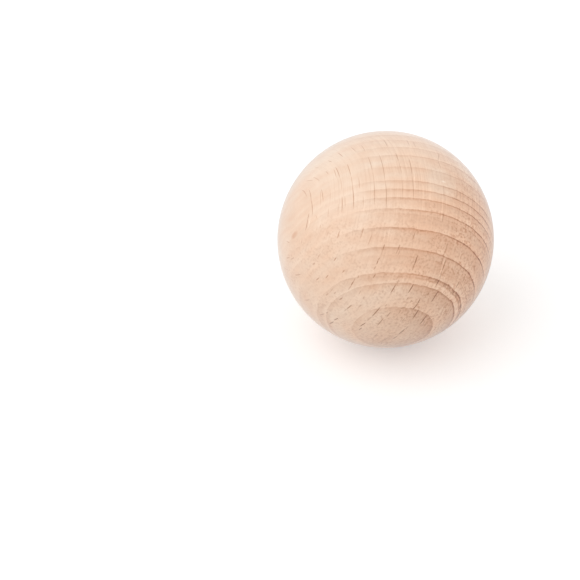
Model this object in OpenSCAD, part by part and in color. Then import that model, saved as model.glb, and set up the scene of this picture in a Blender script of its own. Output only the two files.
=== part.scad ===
// Plain turned wooden ball, one solid piece of beech.
// A true sphere with no hole, flat or groove. Its origin is its centre, and +Z is up.

/* [Ball] */
// Diameter of the finished ball
ball_d = 50; // [6:0.5:150]

/* [Look] */
// Colour of the sanded, bare wood: red, green and blue
wood_rgb = [0.90, 0.77, 0.67]; // [0:0.01:1]

/* [Hidden] */
// Facets round the ball when it is drawn as a mesh
$fn = 128;

// The ball, centred on the origin
module ball() {
  color(wood_rgb) sphere(d = ball_d);
}

ball();
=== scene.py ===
"""Looks of the turned wooden ball: bare, finely sanded beech, lit softly on a plain pale floor."""

import math

import bmesh
import bpy
from mathutils import Matrix, Vector


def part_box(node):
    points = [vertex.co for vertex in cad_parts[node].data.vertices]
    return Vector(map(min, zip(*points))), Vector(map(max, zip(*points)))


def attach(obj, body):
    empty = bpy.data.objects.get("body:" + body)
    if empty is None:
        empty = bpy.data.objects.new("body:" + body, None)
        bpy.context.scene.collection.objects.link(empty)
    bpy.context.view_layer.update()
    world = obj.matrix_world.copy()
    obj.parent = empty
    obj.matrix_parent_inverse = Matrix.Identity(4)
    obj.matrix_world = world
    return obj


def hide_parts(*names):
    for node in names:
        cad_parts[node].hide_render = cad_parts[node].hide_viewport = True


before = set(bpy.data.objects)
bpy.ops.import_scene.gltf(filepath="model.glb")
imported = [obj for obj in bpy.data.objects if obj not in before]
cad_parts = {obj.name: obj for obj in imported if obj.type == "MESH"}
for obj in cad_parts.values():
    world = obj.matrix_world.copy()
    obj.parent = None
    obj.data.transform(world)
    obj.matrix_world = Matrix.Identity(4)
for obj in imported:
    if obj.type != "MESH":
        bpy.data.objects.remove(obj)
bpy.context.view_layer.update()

# ---- Sizes, in metres unless a name ends in _MM ----------------------------------------------------
MM = 0.001
BOX_LOW, BOX_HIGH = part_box("ball")
CENTRE = (BOX_LOW + BOX_HIGH) / 2
RADIUS = max(BOX_HIGH - BOX_LOW) / 2
RADIUS_MM = RADIUS / MM
# Squares along one edge of the six-sided grid that is blown up into the ball
CUTS = 96
# Size of a square at the middle of a side, as a share of the mean
MIDDLE_SHARE = 0.35
# Corners of two neighbouring grids that lie this close are one
MERGE_DISTANCE = RADIUS * 1e-5
UNWRAP_MARGIN = 0.01

# ---- The photograph's view -------------------------------------------------------------------------
PHOTO_SIDE_PX = 580
BALL_X_PX = 385.5
BALL_Y_PX = 239.5
BALL_RADIUS_PX = 108.7
VIEW_ELEVATION = math.radians(38)
VIEW_DISTANCE = 28 * RADIUS
SENSOR_MM = 36

# Right, up and towards the camera, as directions of the row frame
VIEW_RIGHT = Vector((1, 0, 0))
VIEW_UP = Vector((0, math.sin(VIEW_ELEVATION), math.cos(VIEW_ELEVATION)))
VIEW_BACK = Vector((0, -math.cos(VIEW_ELEVATION), math.sin(VIEW_ELEVATION)))


def from_view(right, up, back):
    """A direction seen in the photograph's view, turned into the row frame."""
    return VIEW_RIGHT * right + VIEW_UP * up + VIEW_BACK * back


def on_ball(right_mm, up_mm):
    """The place on the ball that shows this far from its middle, where its outline shows at RADIUS_MM."""
    eye = VIEW_DISTANCE / MM
    limb = math.sqrt(eye * eye - RADIUS_MM**2)
    sight = from_view(right_mm / limb, up_mm / limb, -1)
    half = VIEW_BACK.dot(sight) * eye
    run = (-half - math.sqrt(half * half - sight.dot(sight) * limb * limb)) / sight.dot(sight)
    return VIEW_BACK * eye + sight * run


# ---- Floor and light -------------------------------------------------------------------------------
FLOOR_HALF = 3
FLOOR_COLOUR = (0.76, 0.76, 0.76, 1)
# Light of its own that the floor shows to the camera, so that it comes out near white
FLOOR_LIFT = 0.37
# Strength of the light from all round, and of the key
FILL = 0.80
KEY = 0.80
KEY_SPREAD = math.radians(60)
KEY_FROM = from_view(-0.57, 0.45, 0.69)

# ---- How the wood lies in the ball -----------------------------------------------------------------
# RADIAL points towards the pith, which is down in the photograph. GRAIN runs along the trunk. TANGENT runs
# round it, to the photograph's left.
RADIAL = from_view(0.072, -0.850, 0.522).normalized()
TRUNK = from_view(0.526, 0.477, 0.704)
GRAIN = (TRUNK - RADIAL * TRUNK.dot(RADIAL)).normalized()
TANGENT = RADIAL.cross(GRAIN)

# Wood shrinks most along TANGENT as it dries, which leaves the ball narrower there by this share
SHRINK = 0.0065
# The lathe's axis comes out at two parting spots. The ball is flatter there by FLAT_DEPTH_MM, with a blend
# round the flat that changes nothing further than FLAT_REACH_MM below it
TURNED = on_ball(13.1, 13.1).normalized()
FLAT_DEPTH_MM = 0.05
FLAT_BLEND_MM = 0.04
FLAT_REACH_MM = 1
# The small nick beside the middle of the near parting spot
NICK_AT_MM = (13.35, 13.35)
NICK_HALF_MM = (0.8, 0.3)
NICK_DEPTH_MM = 0.06
NICK_STEEPNESS = 1.5
# The orange mark near the left edge, which points from one place towards the other
MARK_AT_MM = (-21.1, 1.05)
MARK_TO_MM = (-20.3, 1.8)
MARK_HALF_MM = (2.0, 0.85)

# ---- Growth rings ------------------------------------------------------------------------------------
# The rings are nearly flat layers across RADIAL. Seen along GRAIN they bow, and more so away from the pith
BOW_MM = 125
BOW_ENDS_MM = 30
# They lean along TANGENT by this slope, which dies out between these places, and curl over at both ends
LEAN = 0.09
LEAN_FADE_MM = (25, 13)
CURL_MM = 3
CURL_POWER = 8
# They sweep along GRAIN with this radius, and twist a little
SWEEP_MM = 250
TWIST_MM = 90
# (depth towards the pith in mm, strength of the line, stain that trails after it), up to one past the ball
RINGS = [
    (-27, 0.4, 0.03), (-24.2, 0.5, 0.03), (-22.1, 0.5, 0.03), (-19.6, 0.4, 0.03), (-16.8, 0.4, 0.03),
    (-14.3, 0.3, 0.04), (-11.5, 0.35, 0.02), (-8.7, 0.5, 0.03), (-5.1, 0.3, 0.06), (-1.3, 0.65, 0.05),
    (0.95, 0.9, 0.04), (3.1, 1.0, 0.04), (5.8, 0.95, 0.05), (6.85, 0.2, 0.04), (10.05, 1.1, 0.05),
    (14.15, 0.95, 0.07), (15.6, 0.15, 0.06), (16.9, 0.15, 0.05), (18.45, 0.95, 0.16), (18.95, 0.7, -0.06),
    (20.0, 0.7, 0.21), (23.15, 0.3, 0.26), (30, 0.5, 0),
]
# Small waves in the depth: how far they reach, and the size of one
RING_WOBBLE_MM = 0.10
RING_WOBBLE_SIZE_MM = 3
RING_STEP_MM = 0.10
RING_STEP_SIZE_MM = (1.2, 20, 20)

# ---- Rays that the photograph shows as single dark or pale flecks --------------------------------------
# (right, up) of one end and of the other, in mm in the view, and how dark it is. A negative one is paler
FLECKS_FOOT = [
    (-1.1, -15.4, -3.2, -17.8, 1.0), (-3.2, -17.8, -4.2, -18.5, 0.25), (-4.5, -19.1, -5.9, -20.0, 1.0),
    (-5.4, -20.3, -6.1, -20.8, 0.8), (-0.4, -18.0, -1.9, -19.8, 0.8), (1.2, -16.6, 0.2, -17.9, 0.5),
    (4.6, -20.4, 2.9, -21.9, 1.0), (2.8, -22.1, 1.6, -22.9, 0.7), (0.6, -22.6, -0.9, -23.4, 0.6),
    (5.1, -20.1, 4.7, -20.5, 0.4), (4.5, -18.0, 3.6, -19.1, 0.4), (4.1, -15.7, 3.6, -15.8, 0.6),
    (-1.7, -21.4, -2.9, -22.7, 0.25), (-4.9, -13.2, -5.2, -13.6, 0.25), (-5.5, -15.0, -6.3, -15.7, 0.25),
    (6.5, -10.2, 5.2, -12.3, 1.1), (8.0, -13.6, 7.2, -15.0, 0.9), (7.3, -14.9, 6.2, -16.2, 1.0),
    (7.7, -16.0, 6.3, -18.1, 1.1), (9.6, -17.2, 7.8, -19.6, 1.2), (9.1, -18.6, 8.4, -20.0, 0.35),
    (2.4, -10.3, 1.2, -12.3, 0.9), (3.3, -1.2, 2.9, -2.3, 0.6), (2.9, -2.3, 2.4, -3.3, 0.3),
    (3.5, -16.2, 3.0, -17.1, 0.35), (5.3, -13.2, 4.8, -14.0, 0.35), (0.3, -14.9, -0.1, -15.4, 0.3),
    (-2.3, -8.0, -2.8, -8.8, 0.6), (3.0, -9.2, 2.7, -10.1, 0.3), (-2.3, -11.9, -2.9, -12.9, 0.2),
    (-2.9, -17.7, -4.3, -18.8, 0.2), (10.4, -15.9, 9.3, -17.1, 0.25),
]
FLECKS_FOOT_RIGHT = [
    (12.2, -11.7, 10.5, -14.4, 1.1), (7.4, -3.6, 6.6, -5.9, 1.0), (6.6, -5.8, 6.2, -7.0, 0.6),
    (12.4, -9.2, 11.7, -10.4, 1.2), (11.8, -10.3, 11.5, -10.9, 0.4), (14.5, -0.2, 13.3, -3.9, 0.4),
    (13.3, -4.0, 12.7, -5.9, 0.55), (14.0, -4.3, 13.0, -7.2, 0.6), (13.0, -7.1, 12.4, -9.2, 0.4),
    (13.7, -4.2, 12.2, -8.5, -0.25), (17.0, -9.6, 16.2, -11.1, 0.8), (18.3, -8.3, 17.7, -10.0, 0.35),
    (20.1, -4.9, 19.4, -6.2, 0.35), (10.0, -12.2, 9.6, -12.8, 0.5), (10.3, -17.6, 10.1, -18.2, 0.5),
    (15.8, -11.8, 15.4, -12.7, 0.8),
]
FLECKS_FOOT_LEFT = [
    (-7.0, -8.9, -7.4, -9.8, 0.3), (-7.4, -9.7, -7.9, -10.5, 0.8), (-7.8, -10.5, -8.6, -11.6, 0.35),
    (-9.5, -7.1, -9.9, -7.6, 0.45), (-9.9, -13.4, -10.6, -13.9, 0.5), (-7.8, -15.1, -8.9, -16.0, 0.8),
    (-9.0, -16.1, -9.5, -16.5, 0.25), (-10.9, -18.1, -11.9, -18.6, 0.9), (-11.9, -18.9, -12.9, -19.4, 0.9),
    (-14.0, -17.1, -15.2, -17.4, 0.5), (-13.2, -16.7, -13.7, -17.0, 0.3), (-13.2, -8.2, -13.8, -8.9, 0.5),
    (-15.3, -8.8, -16.0, -9.4, 0.45), (-19.5, -8.0, -21.0, -8.2, 0.35), (-17.6, -13.9, -18.6, -14.0, 0.35),
    (-13.2, -12.5, -13.7, -12.8, 0.3), (-11.5, -12.1, -11.8, -12.5, 0.35), (-12.0, -11.1, -12.9, -12.3, 0.2),
    (-5.7, -11.8, -6.1, -12.6, 0.25), (-16.3, -5.4, -16.8, -5.8, 0.3), (-6.1, -8.2, -6.4, -8.9, 0.35),
    (-11.4, -4.2, -11.9, -4.9, 0.5), (-22.2, -4.1, -22.9, -4.3, 0.3), (-21.2, -4.2, -21.9, -4.6, 0.3),
    (-15.0, -3.2, -15.8, -4.4, 0.2),
]
FLECKS_MIDDLE = [
    (-0.2, -1.1, -0.6, -2.4, 0.6), (-0.6, -2.4, -1.1, -3.8, 0.2), (-1.3, -4.2, -1.7, -4.7, 0.5),
    (-1.7, -4.8, -2.0, -5.6, 0.9), (-2.2, -6.2, -2.7, -6.9, 0.5), (3.3, -2.6, 3.0, -3.4, 0.3),
    (6.8, 1.7, 6.2, -0.1, 0.5), (-5.1, 2.7, -5.4, 1.4, 0.4), (-5.4, 1.4, -5.9, 0.2, 0.25),
    (-3.1, 1.2, -4.1, -1.4, 0.25), (-10.6, 2.0, -11.1, 0.3, 0.45), (0.1, 2.6, -0.5, -0.6, -0.15),
    (0.9, 2.4, 0.3, -0.8, -0.12), (1.6, 2.2, 1.0, -0.5, -0.12),
]
FLECKS_TOP = [
    (-1.7, 20.0, -0.1, 13.0, 0.45), (-0.1, 13.9, 0.05, 6.1, 0.5), (-4.1, 19.2, -3.0, 15.7, 0.4),
    (-3.0, 15.7, -2.6, 12.4, 0.2), (-2.7, 13.5, -2.6, 7.6, 0.4), (-8.9, 17.5, -8.0, 14.6, 0.45),
    (-8.0, 14.8, -7.6, 12.2, 0.25), (-7.7, 12.7, -7.4, 6.9, 0.6), (-6.2, 14.4, -6.0, 11.7, 0.3),
    (2.3, 19.9, 3.0, 18.0, 0.5), (3.0, 18.0, 3.7, 15.0, 0.25), (3.7, 14.6, 3.9, 8.8, 0.2),
    (5.3, 18.9, 6.1, 14.7, 0.55), (6.1, 14.8, 6.4, 8.8, 0.4), (6.3, 16.8, 6.8, 11.0, -0.2),
    (12.3, 19.9, 12.0, 18.0, 0.4), (12.0, 18.1, 12.7, 16.2, 0.4), (13.3, 12.6, 13.4, 9.7, 0.35),
    (13.4, 6.3, 13.0, 3.9, 0.55), (13.2, 9.9, 12.7, 4.4, -0.2), (17.8, 11.4, 17.7, 7.2, 0.35),
    (17.0, 7.2, 16.8, 6.1, 0.4), (-4.6, 20.2, -5.7, 21.8, 0.3), (0.5, 21.2, -0.5, 23.0, 0.4),
    (5.5, 21.4, 4.8, 23.0, 0.35), (6.9, 21.2, 6.3, 22.5, 0.3), (-6.8, 20.2, -8.0, 21.3, 0.35),
    (8.6, 13.0, 8.7, 9.5, -0.2), (10.2, 12.6, 10.2, 8.5, -0.2), (-5.2, 10.2, -5.1, 7.4, 0.2),
]
FLECKS_LEFT = [
    (-17.8, 11.7, -17.2, 8.7, 0.4), (-17.2, 9.2, -17.0, 5.3, 0.6), (-19.4, 11.5, -18.2, 9.9, 0.4),
    (-17.7, 6.0, -18.0, 4.7, 0.6), (-18.0, 4.8, -18.5, 2.1, 0.8), (-17.4, 5.2, -18.0, 2.4, -0.2),
    (-22.9, -0.4, -22.2, -0.7, 0.4), (-14.9, 11.8, -14.4, 8.7, 0.35),
    (-15.2, 11.8, -15.1, 7.6, 0.2), (-11.6, 16.8, -10.5, 14.1, 0.45), (-10.4, 14.2, -10.1, 11.2, 0.2),
    (-10.05, 10.1, -10.1, 6.1, 0.6), (-12.0, 16.3, -11.3, 14.2, 0.3), (-13.2, 7.2, -13.3, 5.3, 0.2),
    (-10.9, 8.3, -11.0, 6.2, 0.2), (-9.4, 10.0, -9.3, 7.4, 0.2), (-16.1, 5.6, -15.8, 4.8, 0.2),
    (-15.0, 3.4, -15.1, 2.6, 0.3), (-15.8, 3.0, -15.9, 2.2, 0.2), (-19.3, 0.2, -19.5, -1.0, 0.25),
    (-18.4, 13.5, -16.8, 13.6, 0.25), (-16.8, 14.4, -15.2, 13.5, 0.25), (-16.4, 16.6, -15.4, 16.6, 0.2),
    (-13.8, 15.8, -13.2, 15.1, 0.3), (-13.3, 18.2, -12.4, 17.9, 0.45), (-11.0, 20.0, -9.8, 19.0, 0.4),
    (-12.9, 12.2, -12.9, 7.9, 0.15),
]
FLECKS_RIGHT = [
    (9.1, 8.8, 9.1, 6.9, 0.25), (9.4, 8.8, 9.4, 6.9, 0.25), (9.75, 8.7, 9.7, 6.8, 0.25),
    (10.05, 8.6, 10.0, 6.8, 0.25), (17.1, 11.2, 17.2, 9.1, 0.45), (16.3, 10.9, 16.3, 9.1, 0.4),
    (19.9, 10.9, 20.0, 6.9, 0.35), (20.6, 10.9, 20.6, 7.0, -0.2), (21.3, 10.9, 21.4, 3.7, 0.4),
]
FLECKS_WIDE = FLECKS_FOOT + FLECKS_FOOT_RIGHT + FLECKS_FOOT_LEFT + FLECKS_MIDDLE
FLECKS_THIN = FLECKS_TOP + FLECKS_LEFT + FLECKS_RIGHT
# How far a fleck reaches past both ends of its row, and how wide and deep it is
FLECK_END_MM = 0.15
WIDE_HALF_MM = 0.15
THIN_HALF_MM = 0.11
FLECK_HALF_DEPTH_MM = 4
# How steeply a fleck darkens from its outline to its middle
FLECK_STEEPNESS = 3

# ---- Crowds of rays scattered at random ----------------------------------------------------------------
# (spacing along TANGENT, height along GRAIN, greatest half width)
THIN_RAYS_MM = (0.5, 5, 0.08)
BROAD_RAYS_MM = (3.2, 6, 0.2)
BROAD_RAYS_SHIFT_MM = 4.3
RAY_LENGTH_MM = 30
# Shares: half a ray's height in its spacing of height, and the width of the thinnest ray in the greatest
RAY_HALF_HEIGHT = 0.42
RAY_LEAST_WIDTH = 0.3
RAY_EDGE_MM = (-0.05, 0.08)
# Rays wander as they grow, by waves of these sizes and reaches
WANDER_SIZE_MM = 7
WANDER_MM = 0.35
QUIVER_SIZE_MM = 1.6
QUIVER_MM = 0.06

# ---- Colours, linear ---------------------------------------------------------------------------------
BARE = (0.93, 0.732, 0.58)
# What the wood lets through in each channel for one unit of its brown stain, and of its orange warmth
STAIN = (0.538, 0.427, 0.368)
WARMTH = (0.937, 0.803, 0.719)

# ---- Where the looks of the wood change ----------------------------------------------------------------
# A pair is a fade, from where something is gone to where it is full. Names with ASIDE go along TANGENT,
# where more is further to the photograph's left. Names with REACH go along it to both sides of the middle.
# Names with DEPTH go across the rings, where more is further down. Rows of three, (from, to, amount), change
# the value whose name they carry in front of ASIDE or DEPTH
RIGHT_HALF_ASIDE_MM = (3, -3)

# The dark line of a ring, from its start on downwards
LINE_FULL_MM = 0.06
LINE_END_MM = 0.42
LINE_END_ASIDE = [(1, 14, 0.7)]
LINE_REACH_MM = (21, 13)
KNOB_SIZE_MM = 1.1
KNOB_SHARE = 0.6
LINE_STAIN = 0.20
LINE_STAIN_ASIDE = [(3, -9, 0.47), (-8, -15, 0.12), (2, 20, -0.06)]
LINE_STAIN_DEPTH = [(5, 10, 0.06)]

# The brown that trails after a line. It reaches further to the left above the foot
TRAIL_FADE_MM = (3.2, 0.2)
TRAIL_FULL_MM = -3
TRAIL_START_MM = 9
TRAIL_START_DEPTH = [(18, 14, 8)]

# The pale wood ahead of a line. The upper part is paler too, apart from its left side
PALE_FADE_MM = (2.0, 0.1)
PALE_STAIN = 0.17
PALE_STAIN_ASIDE = [(2, 20, -0.12)]
UPPER_ASIDE_MM = (14, 5)
UPPER_DEPTH_MM = (14, 4)
UPPER_STAIN = -0.07

# Dark rungs between the two lines of the double ring above the foot
RUNG_SIZE_MM = (0.9, 9, 1)
RUNG_LEVELS = (0.05, 0.3)
RUNG_START_DEPTH_MM = (18.4, 18.6)
RUNG_END_DEPTH_MM = (19.1, 18.9)
RUNG_STAIN = 0.5

# The speckle of open pores. It is patchy, and weak at the upper left
PORE_SIZE_MM = 0.55
PORE_LOWEST = -0.1
PORE_STAIN = 0.34
PORES = 0.34
PORES_ASIDE = [(15, -5, 0.60)]
PORES_SHARE = 1
PORES_SHARE_DEPTH = [(0, 9, 0.35)]
SMOOTH_ASIDE_MM = (-14, 0)
SMOOTH_DEPTH_MM = (10, 1)
SMOOTH_SHARE = 0.65
PATCH_SIZE_MM = 5
PATCH_DETAIL = 2
PATCH_LEVELS = (-0.5, 0.5)
PATCH_LEAST = 0.6
PATCH_CHANGE = 0.8

# Hair-fine streaks along the grain
HAIR_SIZE_MM = (0.45, 5, 8)
HAIR_DETAIL = 3
HAIR_ROUGHNESS = 0.7
HAIR_STAIN = 0.085
HAIR_STAIN_ASIDE = [(10, 20, -0.045)]

# Thin rays, darker than the wood where their random tone is over THIN_TONE and paler elsewhere. Broad rays
# on the far side, where none are placed one by one
THIN_ASIDE_MM = (24, 21)
THIN_DEPTH_MM = (14, 9)
THIN_TONE = 0.3
THIN_STAIN = 0.06
THIN_STAIN_ASIDE = [(-2, 8, 0.14), (-6, -13, 0.18)]
NEAR_SIDE_MM = (-4, 1)
BROAD_REACH_MM = (23, 17)
BROAD_STAIN = 0.45

# Soft clouds at the lower left, and fine ripples along the rings at the right
CLOUD_SIZE_MM = 1.3
CLOUD_ASIDE_MM = (10, 20)
CLOUD_DEPTH_MM = (0, 8)
CLOUD_STAIN = 0.03
RIPPLE_SIZE_MM = (3, 3, 0.5)
RIPPLE_ASIDE_MM = (6, -2)
RIPPLE_STAIN = 0.08

# (stain, warmth) of the small marks. A parting spot fades in between two shares of the radius. The nick and
# the orange mark are full from these levels of their lenses inwards
SPOT_TINT = (0.05, -0.6)
NICK_TINT = (-0.16, -0.5)
MARK_TINT = (0.14, 0.8)
SPOT_RIM = (0.977, 0.998)
NICK_FULL = 0.5
MARK_FULL = 0.7
TINT_HALF_DEPTH_MM = 1

# The single flecks, and the stain of all the wood
FLECK_STAIN = 0.9
FLECK_STAIN_DEPTH = [(17, 21, 0.12)]
FLECK_WARMTH = 0.4
FLECK_WARMTH_ASIDE = [(12, 20, 1.2)]
STAIN_EVERYWHERE = 0.046

# The warmth grows to the right: partly the wood's own orange, and partly painted shade, which darkens the
# right and lower side, away from the key light. One share of it grows downwards, where the right half counts
# as
# ORANGE_RIGHT_MM further down, and another falls off at the foot
ORANGE = 0.26
ORANGE_ASIDE = [(24, 0, 1.17), (0, -15, 0.25)]
ORANGE_SHARE = 0.42
ORANGE_SHARE_DEPTH = [(-13, 8, 0.58)]
ORANGE_RIGHT_MM = 4
FOOT_SHARE = 1
FOOT_SHARE_DEPTH = [(10, 22, -0.28), (21, 25, -0.17)]
# The band above the foot at the left, the foot at the left, the left edge, and the lower left
BAND_ASIDE_MM = (-2, 6)
BAND_TOP_DEPTH_MM = (6, 12)
BAND_END_DEPTH_MM = (21, 17)
BAND_WARMTH = 0.18
FOOT_LEFT_ASIDE_MM = (0, 7)
FOOT_LEFT_DEPTH_MM = (18, 22)
FOOT_LEFT_WARMTH = -0.25
LEFT_EDGE_ASIDE_MM = (21.5, 24.5)
LEFT_EDGE_WARMTH = 0.36
LOWER_LEFT_ASIDE_MM = (15, 21)
LOWER_LEFT_DEPTH_MM = (2, 8)
LOWER_LEFT_WARMTH = 0.15
HAZE_SIZE_MM = (6, 6, 2)
HAZE_WARMTH = 0.35

# The warmth of the lines, of the wood close to them, and of the fine texture
EDGES_ASIDE_MM = (18, 5)
LINE_WARMTH = 0.5
LINE_WARMTH_ASIDE = [(-5, -14, 1.5)]
CLOSE_MM = (1.5, 0)
BELOW_WARMTH = 0.2
ABOVE_WARMTH = 0.1
TEXTURE_WARMTH = 0.3
TEXTURE_WARMTH_ASIDE = [(8, -10, 1.9)]

# ---- The sanded surface ----------------------------------------------------------------------------------
SURFACE_ROUGHNESS = 0.5
SPECKLE_ROUGHNESS = 0.06
WOOD_IOR = 1.5
SHEEN = 1
SHEEN_ROUGHNESS = 0.35
BUMP_MM = 0.02
BUMP_STRENGTH = 0.25


# ---- Shader numbers that read as formulas --------------------------------------------------------------
class Number:
    """A number that varies over the surface. Arithmetic on it adds Math nodes to its node tree."""

    def __init__(self, socket):
        self.socket = socket
        self.tree = socket.id_data

    def __add__(self, other):
        return math_node(self.tree, "ADD", self, other)

    def __radd__(self, other):
        return math_node(self.tree, "ADD", other, self)

    def __sub__(self, other):
        return math_node(self.tree, "SUBTRACT", self, other)

    def __rsub__(self, other):
        return math_node(self.tree, "SUBTRACT", other, self)

    def __mul__(self, other):
        return math_node(self.tree, "MULTIPLY", self, other)

    def __rmul__(self, other):
        return math_node(self.tree, "MULTIPLY", other, self)

    def __pow__(self, other):
        return math_node(self.tree, "POWER", self, other)

    def __rpow__(self, other):
        return math_node(self.tree, "POWER", other, self)

    def __truediv__(self, other):
        return math_node(self.tree, "DIVIDE", self, other)

    def __abs__(self):
        return math_node(self.tree, "ABSOLUTE", self)

    def above(self, other):
        """1 where this is greater than other, else 0."""
        return math_node(self.tree, "GREATER_THAN", self, other)

    def highest(self, other):
        """The greater of this and other."""
        return math_node(self.tree, "MAXIMUM", self, other)

    def fade(self, start, end):
        """Goes smoothly from 0 at start to 1 at end, and stays there. Start may be above end."""
        node = self.tree.nodes.new("ShaderNodeMapRange")
        node.interpolation_type = "SMOOTHSTEP"
        for name, value in (("Value", self), ("From Min", start), ("From Max", end)):
            feed(value, node.inputs[name])
        return Number(node.outputs[0])


def feed(value, socket):
    """Gives a socket its value: a link from a Number or another socket, or a constant."""
    if isinstance(value, Number):
        value = value.socket
    if isinstance(value, bpy.types.NodeSocket):
        socket.id_data.links.new(value, socket)
    else:
        socket.default_value = value


def math_node(tree, operation, *values):
    node = tree.nodes.new("ShaderNodeMath")
    node.operation = operation
    for value, socket in zip(values, node.inputs):
        feed(value, socket)
    return Number(node.outputs[0])


def vector_node(tree, operation, *values):
    node = tree.nodes.new("ShaderNodeVectorMath")
    node.operation = operation
    for value, socket in zip(values, node.inputs):
        feed(value, socket)
    return node


def scaled(tree, vector, factor):
    """A vector socket: a vector socket or constant, times a Number or constant."""
    node = vector_node(tree, "SCALE", vector)
    feed(factor, node.inputs["Scale"])
    return node.outputs[0]


def along(place, direction):
    """How far a place lies along a direction."""
    return Number(vector_node(place.id_data, "DOT_PRODUCT", place, direction).outputs["Value"])


def join(x, y, z):
    """A vector socket made of three Numbers or constants, of which one at least is a Number."""
    tree = next(part.tree for part in (x, y, z) if isinstance(part, Number))
    node = tree.nodes.new("ShaderNodeCombineXYZ")
    for value, socket in zip((x, y, z), node.inputs):
        feed(value, socket)
    return node.outputs[0]


def noise(place, size, detail=1, roughness=0.5):
    """Smooth noise about 0, mostly between -1 and 1, with features about size across."""
    node = place.id_data.nodes.new("ShaderNodeTexNoise")
    node.normalize = False
    feed(place, node.inputs["Vector"])
    node.inputs["Scale"].default_value = 1 / size
    node.inputs["Detail"].default_value = detail
    node.inputs["Roughness"].default_value = roughness
    return Number(node.outputs[0])


def stretched_noise(x, y, z, sizes, detail=1, roughness=0.5):
    """Noise whose features have a size of their own along each of three coordinates."""
    place = join(x / sizes[0], y / sizes[1], z / sizes[2])
    return noise(place, 1, detail, roughness)


def vary(value, coordinate, changes):
    """value, with the amount of each change added as the coordinate goes from its start to its end."""
    for start, end, amount in changes:
        value = coordinate.fade(start, end) * amount + value
    return value


# ---- The wood's own coordinates ------------------------------------------------------------------------
class Wood:
    """Where a place lies in the wood, in mm, and where it lies between two rings."""

    def __init__(self, tree):
        coordinates = tree.nodes.new("ShaderNodeTexCoord").outputs["Object"]
        self.true_place = scaled(tree, coordinates, 1 / MM)
        self.place = wandering(self.true_place)
        self.inward = along(self.place, RADIAL)
        self.aside = along(self.place, TANGENT)
        self.lengthways = along(self.place, GRAIN)
        steps = self.streaks(RING_STEP_SIZE_MM, detail=0) * RING_STEP_MM
        wobble = noise(self.place, RING_WOBBLE_SIZE_MM) * RING_WOBBLE_MM
        self.depth = ring_depth(self.inward, self.aside, self.lengthways) + wobble + steps
        self.below, self.above, self.line, self.next_line, self.trail = last_ring(self.depth)

    def streaks(self, sizes, detail=1, roughness=0.5):
        """Noise with its own size along TANGENT, GRAIN and RADIAL."""
        return stretched_noise(self.aside, self.lengthways, self.inward, sizes, detail, roughness)

    def layers(self, sizes, detail=1):
        """Noise with its own size along TANGENT, along GRAIN and across the rings."""
        return stretched_noise(self.aside, self.lengthways, self.depth, sizes, detail)


def wandering(place):
    """A place nudged a little along TANGENT, so that rays wander as they grow."""
    wander = noise(place, WANDER_SIZE_MM, detail=0) * WANDER_MM
    quiver = noise(place, QUIVER_SIZE_MM, detail=0) * QUIVER_MM
    nudge = scaled(place.id_data, tuple(TANGENT), wander + quiver)
    return vector_node(place.id_data, "ADD", place, nudge).outputs[0]


def ring_depth(inward, aside, lengthways):
    """Depth towards the pith, in mm, measured across the growth rings."""
    lean = aside * LEAN * inward.fade(*LEAN_FADE_MM)
    bow = aside * aside * (1 - inward / BOW_ENDS_MM) / (2 * BOW_MM)
    curl = (aside / RADIUS_MM) ** CURL_POWER * CURL_MM
    sweep = lengthways * lengthways / (2 * SWEEP_MM)
    twist = lengthways * lengthways * aside / TWIST_MM**2
    return inward + lean - bow - curl - sweep - twist


def last_ring(depth):
    """How far a place is below one line and above the next, the strength of both, and the first's trail."""
    start, line, trail = RINGS[0]
    end, next_line = RINGS[1][:2]
    for before, here, after in zip(RINGS, RINGS[1:], RINGS[2:]):
        passed = depth.above(here[0])
        start = passed * (here[0] - before[0]) + start
        line = passed * (here[1] - before[1]) + line
        trail = passed * (here[2] - before[2]) + trail
        end = passed * (after[0] - here[0]) + end
        next_line = passed * (after[1] - here[1]) + next_line
    return depth - start, end - depth, line, next_line, trail


# ---- Rays and marks --------------------------------------------------------------------------------------
def ray_layer(wood, aside, sizes):
    """A crowd of thin upright ribbons along RADIAL: a mask with 1 on a ray, and a random tone for each."""
    spacing, height, half_width = sizes
    cells = aside.tree.nodes.new("ShaderNodeTexVoronoi")
    cells.inputs["Scale"].default_value = 1
    place = join(aside / spacing, wood.lengthways / height, wood.inward / RAY_LENGTH_MM)
    feed(place, cells.inputs["Vector"])
    middle = aside.tree.nodes.new("ShaderNodeSeparateXYZ")
    feed(cells.outputs["Position"], middle.inputs[0])
    chance = aside.tree.nodes.new("ShaderNodeSeparateColor")
    feed(cells.outputs["Color"], chance.inputs[0])
    across = abs(aside - Number(middle.outputs[0]) * spacing)
    upright = (wood.lengthways - Number(middle.outputs[1]) * height) / (height * RAY_HALF_HEIGHT)
    width = (Number(chance.outputs[0]) * (1 - RAY_LEAST_WIDTH) + RAY_LEAST_WIDTH) * half_width
    return ((1 - upright * upright) * width - across).fade(*RAY_EDGE_MM), Number(chance.outputs[1])


def lens(place, middle, run, across, half_size):
    """1 at the middle of a lens in the wood, 0 outside it. half_size goes along run, across and deep."""
    tree = place.id_data
    local = tree.nodes.new("ShaderNodeMapping")
    local.vector_type = "TEXTURE"
    feed(place, local.inputs["Vector"])
    local.inputs["Location"].default_value = middle
    turn = Matrix((run, across, run.cross(across))).transposed()
    local.inputs["Rotation"].default_value = turn.to_euler()
    local.inputs["Scale"].default_value = half_size
    gradient = tree.nodes.new("ShaderNodeTexGradient")
    gradient.gradient_type = "SPHERICAL"
    feed(local.outputs[0], gradient.inputs[0])
    return Number(gradient.outputs["Fac"])


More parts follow.
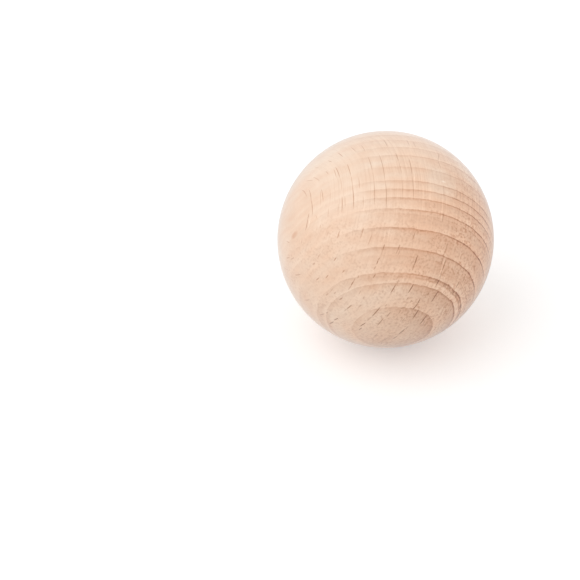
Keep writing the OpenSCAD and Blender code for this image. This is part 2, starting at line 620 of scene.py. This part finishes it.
def fleck_mask(place):
    """The single flecks. Each is a long thin lens that reaches straight into the wood."""
    tree = place.id_data
    mask = 0
    flecks = [(WIDE_HALF_MM, row) for row in FLECKS_WIDE] + [(THIN_HALF_MM, row) for row in FLECKS_THIN]
    for half_width, (right_0, up_0, right_1, up_1, dark) in flecks:
        start = surface_mm(on_ball(right_0, up_0).normalized())
        end = surface_mm(on_ball(right_1, up_1).normalized())
        run = (end - start).normalized()
        across = (TANGENT - run * TANGENT.dot(run)).normalized()
        outward = (start + end).normalized()
        slope = across.cross(outward).length
        half_size = ((end - start).length / 2 + FLECK_END_MM, half_width * slope, FLECK_HALF_DEPTH_MM)
        middle = lens(place, (start + end) / 2, run, across, half_size)
        solid = math_node(tree, "MULTIPLY", middle, FLECK_STEEPNESS)
        solid.socket.node.use_clamp = True
        mask = math_node(tree, "MULTIPLY_ADD", solid, dark, mask)
    return mask


def shallow_lens(place, middle, towards, half_size):
    """A lens just under the surface, whose length points along towards."""
    outward = middle.normalized()
    run = (towards - outward * towards.dot(outward)).normalized()
    return lens(place, middle, run, outward.cross(run), (*half_size, TINT_HALF_DEPTH_MM))


def small_marks(place):
    """Each small mark's mask with its stain and warmth: the parting spots, the nick and the orange mark."""
    spot = abs(along(place, TURNED)).fade(RADIUS_MM * SPOT_RIM[0], RADIUS_MM * SPOT_RIM[1])
    nick = shallow_lens(place, on_ball(*NICK_AT_MM), VIEW_RIGHT, NICK_HALF_MM)
    mark_at = on_ball(*MARK_AT_MM)
    mark = shallow_lens(place, mark_at, on_ball(*MARK_TO_MM) - mark_at, MARK_HALF_MM)
    return [(spot, SPOT_TINT), (nick.fade(0, NICK_FULL), NICK_TINT), (mark.fade(0, MARK_FULL), MARK_TINT)]


# ---- The looks of the wood -------------------------------------------------------------------------------
def ring_lines(wood):
    """The dark line at the start of each ring: knobbly, softer to the left, and gone at both far ends."""
    end = vary(LINE_END_MM, wood.aside, LINE_END_ASIDE)
    knobs = noise(wood.place, KNOB_SIZE_MM) * KNOB_SHARE + 1
    return wood.below.fade(end, LINE_FULL_MM) * wood.line * abs(wood.aside).fade(*LINE_REACH_MM) * knobs


def rungs(wood):
    """Dark rungs between the two lines of the double ring, on the right half."""
    bars = stretched_noise(wood.aside, wood.lengthways, 0, RUNG_SIZE_MM).fade(*RUNG_LEVELS)
    between = wood.depth.fade(*RUNG_START_DEPTH_MM) * wood.depth.fade(*RUNG_END_DEPTH_MM)
    return bars * between * wood.aside.fade(*RIGHT_HALF_ASIDE_MM)


def ring_stain(wood, lines):
    """The brown of the rings: lines, trails, the pale wood ahead of a line, and rungs."""
    aside, depth = wood.aside, wood.depth
    strength = vary(vary(LINE_STAIN, aside, LINE_STAIN_ASIDE), depth, LINE_STAIN_DEPTH)
    trail_start = vary(TRAIL_START_MM, depth, TRAIL_START_DEPTH)
    trail = wood.below.fade(*TRAIL_FADE_MM) * wood.trail * aside.fade(trail_start, TRAIL_FULL_MM)
    pale = wood.above.fade(*PALE_FADE_MM) * wood.next_line * vary(PALE_STAIN, aside, PALE_STAIN_ASIDE)
    upper = aside.fade(*UPPER_ASIDE_MM) * depth.fade(*UPPER_DEPTH_MM)
    return lines * strength + trail - pale + upper * UPPER_STAIN + rungs(wood) * RUNG_STAIN


def pores(wood, speckle):
    """The stain of the open pores."""
    amount = vary(PORES, wood.aside, PORES_ASIDE) * vary(PORES_SHARE, wood.depth, PORES_SHARE_DEPTH)
    smooth = wood.depth.fade(*SMOOTH_DEPTH_MM) * wood.aside.fade(*SMOOTH_ASIDE_MM) * SMOOTH_SHARE
    patches = noise(wood.place, PATCH_SIZE_MM, PATCH_DETAIL).fade(*PATCH_LEVELS)
    amount = amount * (1 - smooth) * (patches * PATCH_CHANGE + PATCH_LEAST)
    return speckle.highest(PORE_LOWEST) * amount * PORE_STAIN


def thin_rays(wood):
    """The stain of the thin rays in the upper part, some darker and some paler than the wood."""
    rays, tone = ray_layer(wood, wood.aside, THIN_RAYS_MM)
    region = wood.depth.fade(*THIN_DEPTH_MM) * wood.aside.fade(*THIN_ASIDE_MM)
    return rays * (tone - THIN_TONE) * region * vary(THIN_STAIN, wood.aside, THIN_STAIN_ASIDE)


def broad_rays(wood):
    """The stain of the broad rays on the far side."""
    near = along(wood.place, VIEW_BACK).fade(*NEAR_SIDE_MM)
    rays = ray_layer(wood, wood.aside + BROAD_RAYS_SHIFT_MM, BROAD_RAYS_MM)[0]
    return rays * (1 - near) * abs(wood.aside).fade(*BROAD_REACH_MM) * BROAD_STAIN


def clouds_and_ripples(wood):
    """The stain of soft clouds at the lower left and of ripples along the rings at the right."""
    region = wood.aside.fade(*CLOUD_ASIDE_MM) * wood.depth.fade(*CLOUD_DEPTH_MM)
    clouds = noise(wood.place, CLOUD_SIZE_MM) * region * CLOUD_STAIN
    ripples = wood.layers(RIPPLE_SIZE_MM, detail=0) * wood.aside.fade(*RIPPLE_ASIDE_MM) * RIPPLE_STAIN
    return clouds + ripples


def wood_warmth_and_painted_shade(wood):
    """The wood's own orange before its lines and flecks, with painted shade to the right and below."""
    aside, depth = wood.aside, wood.depth
    # Painted shade: this orange grows to the right and downwards and darkens the side away from the key
    # light
    lowered = depth + aside.fade(*RIGHT_HALF_ASIDE_MM) * ORANGE_RIGHT_MM
    orange = vary(ORANGE, aside, ORANGE_ASIDE) * vary(ORANGE_SHARE, lowered, ORANGE_SHARE_DEPTH)
    orange = orange * vary(FOOT_SHARE, depth, FOOT_SHARE_DEPTH)
    band = depth.fade(*BAND_TOP_DEPTH_MM) * depth.fade(*BAND_END_DEPTH_MM) * aside.fade(*BAND_ASIDE_MM)
    foot_left = depth.fade(*FOOT_LEFT_DEPTH_MM) * aside.fade(*FOOT_LEFT_ASIDE_MM)
    lower_left = aside.fade(*LOWER_LEFT_ASIDE_MM) * depth.fade(*LOWER_LEFT_DEPTH_MM)
    orange = orange + band * BAND_WARMTH + foot_left * FOOT_LEFT_WARMTH + lower_left * LOWER_LEFT_WARMTH
    left_edge = aside.fade(*LEFT_EDGE_ASIDE_MM) * LEFT_EDGE_WARMTH
    return orange + left_edge + wood.layers(HAZE_SIZE_MM) * HAZE_WARMTH


def edge_warmth(wood, lines):
    """The orange of the ring lines and of the wood close to them."""
    line_warmth = lines * vary(LINE_WARMTH, wood.aside, LINE_WARMTH_ASIDE)
    close = wood.below.fade(*CLOSE_MM) * BELOW_WARMTH + wood.above.fade(*CLOSE_MM) * ABOVE_WARMTH
    return (line_warmth + close) * wood.aside.fade(*EDGES_ASIDE_MM)


def stain_and_warmth(wood, speckle, hair):
    """How much brown stain and orange warmth the wood gets, with painted shade in the warmth."""
    aside, depth = wood.aside, wood.depth
    lines = ring_lines(wood)
    hair_stain = hair * vary(HAIR_STAIN, aside, HAIR_STAIN_ASIDE)
    texture = pores(wood, speckle) + hair_stain + thin_rays(wood)
    flecks = fleck_mask(wood.true_place)
    stain = ring_stain(wood, lines) + texture + clouds_and_ripples(wood) + broad_rays(wood)
    stain = stain + flecks * vary(FLECK_STAIN, depth, FLECK_STAIN_DEPTH) + STAIN_EVERYWHERE
    warmth = wood_warmth_and_painted_shade(wood) + edge_warmth(wood, lines)
    warmth = warmth + flecks * vary(FLECK_WARMTH, aside, FLECK_WARMTH_ASIDE)
    warmth = warmth + texture * vary(TEXTURE_WARMTH, aside, TEXTURE_WARMTH_ASIDE)
    for mask, (mark_stain, mark_warmth) in small_marks(wood.true_place):
        stain = stain + mask * mark_stain
        warmth = warmth + mask * mark_warmth
    return stain, warmth


def beech_material():
    """Sanded beech with no finish on it."""
    material = bpy.data.materials.new("beech")
    material.use_nodes = True
    tree = material.node_tree
    shader = tree.nodes["Principled BSDF"]

    wood = Wood(tree)
    speckle = noise(wood.place, PORE_SIZE_MM)
    hair = wood.streaks(HAIR_SIZE_MM, HAIR_DETAIL, HAIR_ROUGHNESS)
    stain, warmth = stain_and_warmth(wood, speckle, hair)
    colour = [bare * stained**stain * warmed**warmth for bare, stained, warmed in zip(BARE, STAIN, WARMTH)]
    feed(join(*colour), shader.inputs["Base Color"])
    feed(SURFACE_ROUGHNESS + speckle * SPECKLE_ROUGHNESS, shader.inputs["Roughness"])
    shader.inputs["IOR"].default_value = WOOD_IOR
    shader.inputs["Sheen Weight"].default_value = SHEEN
    shader.inputs["Sheen Roughness"].default_value = SHEEN_ROUGHNESS

    bump = tree.nodes.new("ShaderNodeBump")
    bump.inputs["Distance"].default_value = BUMP_MM * MM
    bump.inputs["Strength"].default_value = BUMP_STRENGTH
    feed(speckle + hair, bump.inputs["Height"])
    feed(bump.outputs[0], shader.inputs["Normal"])
    return material


# ---- The ball ------------------------------------------------------------------------------------------
def graded(step):
    """Place of a grid line from -1 to 1, closer together near the middle of a side."""
    u = 2 * step / CUTS - 1
    return u * (MIDDLE_SHARE + (1 - MIDDLE_SHARE) * u * u)


def flattened(place):
    """A place on the ball, moved in to the flat where it lies on one of the two parting spots."""
    reach = abs(place.dot(TURNED)) - (RADIUS_MM - FLAT_DEPTH_MM)
    if reach <= -FLAT_REACH_MM:
        return place
    cut = 0.5 * (reach + math.sqrt(reach * reach + FLAT_BLEND_MM**2))
    return place - TURNED * math.copysign(cut, place.dot(TURNED))


def nick_depth_mm(place):
    """How deep the nick is at a place on the ball."""
    nick = on_ball(*NICK_AT_MM)
    if place.dot(nick) <= 0:
        return 0
    off = place - nick
    across = off.dot(VIEW_RIGHT) / NICK_HALF_MM[0]
    down = off.dot(VIEW_UP) / NICK_HALF_MM[1]
    return NICK_DEPTH_MM * math.exp(-(across * across + down * down) * NICK_STEEPNESS)


def surface_mm(direction):
    """Where the ball's surface lies in a direction from its centre, with its small departures from round."""
    place = flattened(direction * RADIUS_MM * (1 - SHRINK * direction.dot(TANGENT) ** 2))
    return place - direction * nick_depth_mm(place)


def build_ball():
    """One closed skin of six square grids, one round each end of the wood's three axes."""
    mesh = bmesh.new()
    unwrap = mesh.loops.layers.uv.new("OFBake")
    sides = [(GRAIN, TANGENT, RADIAL), (RADIAL, GRAIN, TANGENT), (TANGENT, RADIAL, GRAIN)]
    for side, (out, first, second) in enumerate(sides):
        for end in (0, 1):
            facing = out if end else -out
            add_side(mesh, unwrap, facing, first if end else -first, second, (side, end))
    bmesh.ops.remove_doubles(mesh, verts=mesh.verts, dist=MERGE_DISTANCE)
    bmesh.ops.recalc_face_normals(mesh, faces=mesh.faces)
    data = bpy.data.meshes.new("turned_ball")
    mesh.to_mesh(data)
    mesh.free()
    data.polygons.foreach_set("use_smooth", [True] * len(data.polygons))
    ball = bpy.data.objects.new("turned_ball", data)
    bpy.context.scene.collection.objects.link(ball)
    return ball


def add_side(mesh, unwrap, facing, first, second, cell):
    """One of the six grids, with its own cell of the 3 by 2 unwrapping."""
    quarter = math.pi / 4
    rows = []
    for i in range(CUTS + 1):
        row = []
        for j in range(CUTS + 1):
            direction = facing + first * math.tan(graded(i) * quarter)
            direction = (direction + second * math.tan(graded(j) * quarter)).normalized()
            row.append(mesh.verts.new(CENTRE + surface_mm(direction) * MM))
        rows.append(row)
    for i in range(CUTS):
        for j in range(CUTS):
            corners = [(i, j), (i + 1, j), (i + 1, j + 1), (i, j + 1)]
            face = mesh.faces.new([rows[a][b] for a, b in corners])
            for loop, (a, b) in zip(face.loops, corners):
                u = UNWRAP_MARGIN + (1 - 2 * UNWRAP_MARGIN) * a / CUTS
                v = UNWRAP_MARGIN + (1 - 2 * UNWRAP_MARGIN) * b / CUTS
                loop[unwrap].uv = ((cell[0] + u) / 3, (cell[1] + v) / 2)


# ---- Floor, light and camera ---------------------------------------------------------------------------
def seen_directly(tree):
    """1 for the rays that show a backdrop: from the camera, in a reflection or through glass."""
    light_path = tree.nodes.new("ShaderNodeLightPath")
    names = ("Is Camera Ray", "Is Glossy Ray", "Is Transmission Ray")
    camera, glossy, through = (Number(light_path.outputs[name]) for name in names)
    return camera.highest(glossy).highest(through)


def floor_material():
    """Plain and pale, with a little light of its own where it is seen directly."""
    material = bpy.data.materials.new("pale_floor")
    material.use_nodes = True
    tree = material.node_tree
    tree.nodes.clear()
    plain = tree.nodes.new("ShaderNodeBsdfDiffuse")
    plain.inputs["Color"].default_value = FLOOR_COLOUR
    lift = tree.nodes.new("ShaderNodeEmission")
    feed(seen_directly(tree) * FLOOR_LIFT, lift.inputs["Strength"])
    both = tree.nodes.new("ShaderNodeAddShader")
    feed(plain.outputs[0], both.inputs[0])
    feed(lift.outputs[0], both.inputs[1])
    output = tree.nodes.new("ShaderNodeOutputMaterial")
    feed(both.outputs[0], output.inputs["Surface"])
    return material


def build_floor():
    """A pale floor under the ball, which takes its shadow."""
    ends = ((-1, -1), (1, -1), (1, 1), (-1, 1))
    corners = [(x * FLOOR_HALF, y * FLOOR_HALF, BOX_LOW.z) for x, y in ends]
    data = bpy.data.meshes.new("floor")
    data.from_pydata(corners, [], [(0, 1, 2, 3)])
    data.materials.append(floor_material())
    floor = bpy.data.objects.new("floor", data)
    bpy.context.scene.collection.objects.link(floor)


def build_light():
    """Even white light from all round, with a wide soft key from the upper left."""
    world = bpy.data.worlds.new("studio")
    bpy.context.scene.world = world
    world.use_nodes = True
    tree = world.node_tree
    background = tree.nodes["Background"]
    background.inputs["Color"].default_value = (1, 1, 1, 1)
    feed(seen_directly(tree) * (1 - FILL) + FILL, background.inputs["Strength"])

    key = bpy.data.lights.new("key", "SUN")
    key.energy = KEY
    key.angle = KEY_SPREAD
    lamp = bpy.data.objects.new("key", key)
    lamp.rotation_euler = KEY_FROM.to_track_quat("Z", "Y").to_euler()
    bpy.context.scene.collection.objects.link(lamp)


def build_camera():
    """A long lens that shows the ball at the photograph's place and size."""
    focal_px = BALL_RADIUS_PX * math.sqrt((VIEW_DISTANCE / RADIUS) ** 2 - 1)
    data = bpy.data.cameras.new("camera")
    data.sensor_width = SENSOR_MM
    data.lens = focal_px * SENSOR_MM / PHOTO_SIDE_PX
    camera = bpy.data.objects.new("camera", data)
    aside_px = BALL_X_PX - PHOTO_SIDE_PX / 2
    above_px = PHOTO_SIDE_PX / 2 - BALL_Y_PX
    back = (VIEW_BACK * focal_px + VIEW_RIGHT * aside_px + VIEW_UP * above_px).normalized()
    right = VIEW_UP.cross(back).normalized()
    turn = Matrix((right, back.cross(right), back)).transposed()
    camera.matrix_world = Matrix.LocRotScale(CENTRE + VIEW_BACK * VIEW_DISTANCE, turn, None)
    bpy.context.scene.collection.objects.link(camera)
    bpy.context.scene.camera = camera


build_camera()
build_light()
build_floor()
ball = build_ball()
ball.data.materials.append(beech_material())
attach(ball, "root")
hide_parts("ball")
bpy.context.scene.view_settings.view_transform = "Standard"
